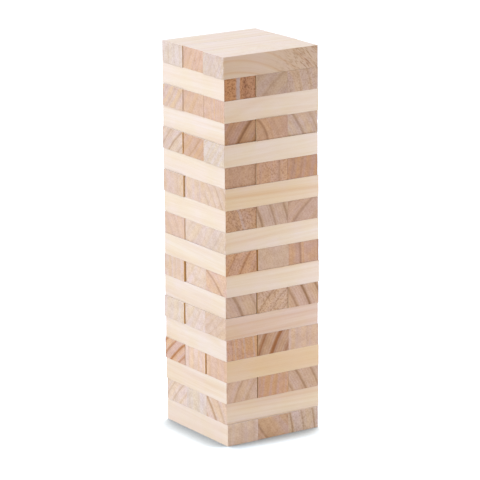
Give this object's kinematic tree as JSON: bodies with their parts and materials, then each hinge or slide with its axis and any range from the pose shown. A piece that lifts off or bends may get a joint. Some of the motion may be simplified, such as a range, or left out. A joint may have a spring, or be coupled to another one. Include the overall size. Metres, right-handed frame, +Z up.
{
  "type": "giant tumbling tower",
  "caption": "Tall square tower of loose sanded pine blocks, each course laid crosswise on the one below; every block slides out along its length.",
  "frame": {"origin": "centre of the tower's base, at ground level", "axes": "+Z up the tower; the odd courses, counted from the ground, run along Y and the even courses along X"},
  "size_m": [0.1865, 0.1875, 0.6477],
  "materials": {
    "cream_pine": "matte",
    "pink_pine": "matte",
    "grey_pine": "matte",
    "tan_pine": "matte",
    "honey_pine": "matte",
    "ochre_pine": "matte"
  },
  "bodies": {
    "course_01_left_block": {"course_01_left_block": "pink_pine"},
    "course_01_middle_block": {"course_01_middle_block": "ochre_pine"},
    "course_01_right_block": {"course_01_right_block": "grey_pine"},
    "course_02_front_block": {"course_02_front_block": "cream_pine"},
    "course_02_middle_block": {"course_02_middle_block": "grey_pine"},
    "course_02_back_block": {"course_02_back_block": "tan_pine"},
    "course_03_left_block": {"course_03_left_block": "pink_pine"},
    "course_03_middle_block": {"course_03_middle_block": "honey_pine"},
    "course_03_right_block": {"course_03_right_block": "tan_pine"},
    "course_04_front_block": {"course_04_front_block": "honey_pine"},
    "course_04_middle_block": {"course_04_middle_block": "cream_pine"},
    "course_04_back_block": {"course_04_back_block": "pink_pine"},
    "course_05_left_block": {"course_05_left_block": "ochre_pine"},
    "course_05_middle_block": {"course_05_middle_block": "pink_pine"},
    "course_05_right_block": {"course_05_right_block": "tan_pine"},
    "course_06_front_block": {"course_06_front_block": "pink_pine"},
    "course_06_middle_block": {"course_06_middle_block": "grey_pine"},
    "course_06_back_block": {"course_06_back_block": "grey_pine"},
    "course_07_left_block": {"course_07_left_block": "pink_pine"},
    "course_07_middle_block": {"course_07_middle_block": "tan_pine"},
    "course_07_right_block": {"course_07_right_block": "pink_pine"},
    "course_08_front_block": {"course_08_front_block": "cream_pine"},
    "course_08_middle_block": {"course_08_middle_block": "pink_pine"},
    "course_08_back_block": {"course_08_back_block": "grey_pine"},
    "course_09_left_block": {"course_09_left_block": "honey_pine"},
    "course_09_middle_block": {"course_09_middle_block": "pink_pine"},
    "course_09_right_block": {"course_09_right_block": "honey_pine"},
    "course_10_front_block": {"course_10_front_block": "cream_pine"},
    "course_10_middle_block": {"course_10_middle_block": "cream_pine"},
    "course_10_back_block": {"course_10_back_block": "tan_pine"},
    "course_11_left_block": {"course_11_left_block": "ochre_pine"},
    "course_11_middle_block": {"course_11_middle_block": "grey_pine"},
    "course_11_right_block": {"course_11_right_block": "pink_pine"},
    "course_12_front_block": {"course_12_front_block": "honey_pine"},
    "course_12_middle_block": {"course_12_middle_block": "cream_pine"},
    "course_12_back_block": {"course_12_back_block": "pink_pine"},
    "course_13_left_block": {"course_13_left_block": "tan_pine"},
    "course_13_middle_block": {"course_13_middle_block": "tan_pine"},
    "course_13_right_block": {"course_13_right_block": "honey_pine"},
    "course_14_front_block": {"course_14_front_block": "cream_pine"},
    "course_14_middle_block": {"course_14_middle_block": "tan_pine"},
    "course_14_back_block": {"course_14_back_block": "pink_pine"},
    "course_15_left_block": {"course_15_left_block": "ochre_pine"},
    "course_15_middle_block": {"course_15_middle_block": "tan_pine"},
    "course_15_right_block": {"course_15_right_block": "pink_pine"},
    "course_16_front_block": {"course_16_front_block": "cream_pine"},
    "course_16_middle_block": {"course_16_middle_block": "pink_pine"},
    "course_16_back_block": {"course_16_back_block": "pink_pine"},
    "course_17_left_block": {"course_17_left_block": "ochre_pine"},
    "course_17_middle_block": {"course_17_middle_block": "pink_pine"},
    "course_17_right_block": {"course_17_right_block": "pink_pine"},
    "course_18_front_block": {"course_18_front_block": "grey_pine"},
    "course_18_middle_block": {"course_18_middle_block": "honey_pine"},
    "course_18_back_block": {"course_18_back_block": "grey_pine"}
  },
  "joints": [
    {"name": "course_01_left_slide", "type": "slide", "parent": "course_01_middle_block", "child": "course_01_left_block", "axis": [0, 1, 0], "range_m": [-0.19, 0.19]},
    {"name": "course_01_right_slide", "type": "slide", "parent": "course_01_middle_block", "child": "course_01_right_block", "axis": [0, 1, 0], "range_m": [-0.19, 0.19]},
    {"name": "course_02_front_slide", "type": "slide", "parent": "course_01_middle_block", "child": "course_02_front_block", "axis": [1, 0, 0], "range_m": [-0.19, 0.19]},
    {"name": "course_02_middle_slide", "type": "slide", "parent": "course_01_middle_block", "child": "course_02_middle_block", "axis": [1, 0, 0], "range_m": [-0.19, 0.19]},
    {"name": "course_02_back_slide", "type": "slide", "parent": "course_01_middle_block", "child": "course_02_back_block", "axis": [1, 0, 0], "range_m": [-0.19, 0.19]},
    {"name": "course_03_left_slide", "type": "slide", "parent": "course_01_middle_block", "child": "course_03_left_block", "axis": [0, 1, 0], "range_m": [-0.19, 0.19]},
    {"name": "course_03_middle_slide", "type": "slide", "parent": "course_01_middle_block", "child": "course_03_middle_block", "axis": [0, 1, 0], "range_m": [-0.19, 0.19]},
    {"name": "course_03_right_slide", "type": "slide", "parent": "course_01_middle_block", "child": "course_03_right_block", "axis": [0, 1, 0], "range_m": [-0.19, 0.19]},
    {"name": "course_04_front_slide", "type": "slide", "parent": "course_01_middle_block", "child": "course_04_front_block", "axis": [1, 0, 0], "range_m": [-0.19, 0.19]},
    {"name": "course_04_middle_slide", "type": "slide", "parent": "course_01_middle_block", "child": "course_04_middle_block", "axis": [1, 0, 0], "range_m": [-0.19, 0.19]},
    {"name": "course_04_back_slide", "type": "slide", "parent": "course_01_middle_block", "child": "course_04_back_block", "axis": [1, 0, 0], "range_m": [-0.19, 0.19]},
    {"name": "course_05_left_slide", "type": "slide", "parent": "course_01_middle_block", "child": "course_05_left_block", "axis": [0, 1, 0], "range_m": [-0.19, 0.19]},
    {"name": "course_05_middle_slide", "type": "slide", "parent": "course_01_middle_block", "child": "course_05_middle_block", "axis": [0, 1, 0], "range_m": [-0.19, 0.19]},
    {"name": "course_05_right_slide", "type": "slide", "parent": "course_01_middle_block", "child": "course_05_right_block", "axis": [0, 1, 0], "range_m": [-0.19, 0.19]},
    {"name": "course_06_front_slide", "type": "slide", "parent": "course_01_middle_block", "child": "course_06_front_block", "axis": [1, 0, 0], "range_m": [-0.19, 0.19]},
    {"name": "course_06_middle_slide", "type": "slide", "parent": "course_01_middle_block", "child": "course_06_middle_block", "axis": [1, 0, 0], "range_m": [-0.19, 0.19]},
    {"name": "course_06_back_slide", "type": "slide", "parent": "course_01_middle_block", "child": "course_06_back_block", "axis": [1, 0, 0], "range_m": [-0.19, 0.19]},
    {"name": "course_07_left_slide", "type": "slide", "parent": "course_01_middle_block", "child": "course_07_left_block", "axis": [0, 1, 0], "range_m": [-0.19, 0.19]},
    {"name": "course_07_middle_slide", "type": "slide", "parent": "course_01_middle_block", "child": "course_07_middle_block", "axis": [0, 1, 0], "range_m": [-0.19, 0.19]},
    {"name": "course_07_right_slide", "type": "slide", "parent": "course_01_middle_block", "child": "course_07_right_block", "axis": [0, 1, 0], "range_m": [-0.19, 0.19]},
    {"name": "course_08_front_slide", "type": "slide", "parent": "course_01_middle_block", "child": "course_08_front_block", "axis": [1, 0, 0], "range_m": [-0.19, 0.19]},
    {"name": "course_08_middle_slide", "type": "slide", "parent": "course_01_middle_block", "child": "course_08_middle_block", "axis": [1, 0, 0], "range_m": [-0.19, 0.19]},
    {"name": "course_08_back_slide", "type": "slide", "parent": "course_01_middle_block", "child": "course_08_back_block", "axis": [1, 0, 0], "range_m": [-0.19, 0.19]},
    {"name": "course_09_left_slide", "type": "slide", "parent": "course_01_middle_block", "child": "course_09_left_block", "axis": [0, 1, 0], "range_m": [-0.19, 0.19]},
    {"name": "course_09_middle_slide", "type": "slide", "parent": "course_01_middle_block", "child": "course_09_middle_block", "axis": [0, 1, 0], "range_m": [-0.19, 0.19]},
    {"name": "course_09_right_slide", "type": "slide", "parent": "course_01_middle_block", "child": "course_09_right_block", "axis": [0, 1, 0], "range_m": [-0.19, 0.19]},
    {"name": "course_10_front_slide", "type": "slide", "parent": "course_01_middle_block", "child": "course_10_front_block", "axis": [1, 0, 0], "range_m": [-0.19, 0.19]},
    {"name": "course_10_middle_slide", "type": "slide", "parent": "course_01_middle_block", "child": "course_10_middle_block", "axis": [1, 0, 0], "range_m": [-0.19, 0.19]},
    {"name": "course_10_back_slide", "type": "slide", "parent": "course_01_middle_block", "child": "course_10_back_block", "axis": [1, 0, 0], "range_m": [-0.19, 0.19]},
    {"name": "course_11_left_slide", "type": "slide", "parent": "course_01_middle_block", "child": "course_11_left_block", "axis": [0, 1, 0], "range_m": [-0.19, 0.19]},
    {"name": "course_11_middle_slide", "type": "slide", "parent": "course_01_middle_block", "child": "course_11_middle_block", "axis": [0, 1, 0], "range_m": [-0.19, 0.19]},
    {"name": "course_11_right_slide", "type": "slide", "parent": "course_01_middle_block", "child": "course_11_right_block", "axis": [0, 1, 0], "range_m": [-0.19, 0.19]},
    {"name": "course_12_front_slide", "type": "slide", "parent": "course_01_middle_block", "child": "course_12_front_block", "axis": [1, 0, 0], "range_m": [-0.19, 0.19]},
    {"name": "course_12_middle_slide", "type": "slide", "parent": "course_01_middle_block", "child": "course_12_middle_block", "axis": [1, 0, 0], "range_m": [-0.19, 0.19]},
    {"name": "course_12_back_slide", "type": "slide", "parent": "course_01_middle_block", "child": "course_12_back_block", "axis": [1, 0, 0], "range_m": [-0.19, 0.19]},
    {"name": "course_13_left_slide", "type": "slide", "parent": "course_01_middle_block", "child": "course_13_left_block", "axis": [0, 1, 0], "range_m": [-0.19, 0.19]},
    {"name": "course_13_middle_slide", "type": "slide", "parent": "course_01_middle_block", "child": "course_13_middle_block", "axis": [0, 1, 0], "range_m": [-0.19, 0.19]},
    {"name": "course_13_right_slide", "type": "slide", "parent": "course_01_middle_block", "child": "course_13_right_block", "axis": [0, 1, 0], "range_m": [-0.19, 0.19]},
    {"name": "course_14_front_slide", "type": "slide", "parent": "course_01_middle_block", "child": "course_14_front_block", "axis": [1, 0, 0], "range_m": [-0.19, 0.19]},
    {"name": "course_14_middle_slide", "type": "slide", "parent": "course_01_middle_block", "child": "course_14_middle_block", "axis": [1, 0, 0], "range_m": [-0.19, 0.19]},
    {"name": "course_14_back_slide", "type": "slide", "parent": "course_01_middle_block", "child": "course_14_back_block", "axis": [1, 0, 0], "range_m": [-0.19, 0.19]},
    {"name": "course_15_left_slide", "type": "slide", "parent": "course_01_middle_block", "child": "course_15_left_block", "axis": [0, 1, 0], "range_m": [-0.19, 0.19]},
    {"name": "course_15_middle_slide", "type": "slide", "parent": "course_01_middle_block", "child": "course_15_middle_block", "axis": [0, 1, 0], "range_m": [-0.19, 0.19]},
    {"name": "course_15_right_slide", "type": "slide", "parent": "course_01_middle_block", "child": "course_15_right_block", "axis": [0, 1, 0], "range_m": [-0.19, 0.19]},
    {"name": "course_16_front_slide", "type": "slide", "parent": "course_01_middle_block", "child": "course_16_front_block", "axis": [1, 0, 0], "range_m": [-0.19, 0.19]},
    {"name": "course_16_middle_slide", "type": "slide", "parent": "course_01_middle_block", "child": "course_16_middle_block", "axis": [1, 0, 0], "range_m": [-0.19, 0.19]},
    {"name": "course_16_back_slide", "type": "slide", "parent": "course_01_middle_block", "child": "course_16_back_block", "axis": [1, 0, 0], "range_m": [-0.19, 0.19]},
    {"name": "course_17_left_slide", "type": "slide", "parent": "course_01_middle_block", "child": "course_17_left_block", "axis": [0, 1, 0], "range_m": [-0.19, 0.19]},
    {"name": "course_17_middle_slide", "type": "slide", "parent": "course_01_middle_block", "child": "course_17_middle_block", "axis": [0, 1, 0], "range_m": [-0.19, 0.19]},
    {"name": "course_17_right_slide", "type": "slide", "parent": "course_01_middle_block", "child": "course_17_right_block", "axis": [0, 1, 0], "range_m": [-0.19, 0.19]},
    {"name": "course_18_front_slide", "type": "slide", "parent": "course_01_middle_block", "child": "course_18_front_block", "axis": [1, 0, 0], "range_m": [-0.19, 0.19]},
    {"name": "course_18_middle_slide", "type": "slide", "parent": "course_01_middle_block", "child": "course_18_middle_block", "axis": [1, 0, 0], "range_m": [-0.19, 0.19]},
    {"name": "course_18_back_slide", "type": "slide", "parent": "course_01_middle_block", "child": "course_18_back_block", "axis": [1, 0, 0], "range_m": [-0.19, 0.19]}
  ]
}
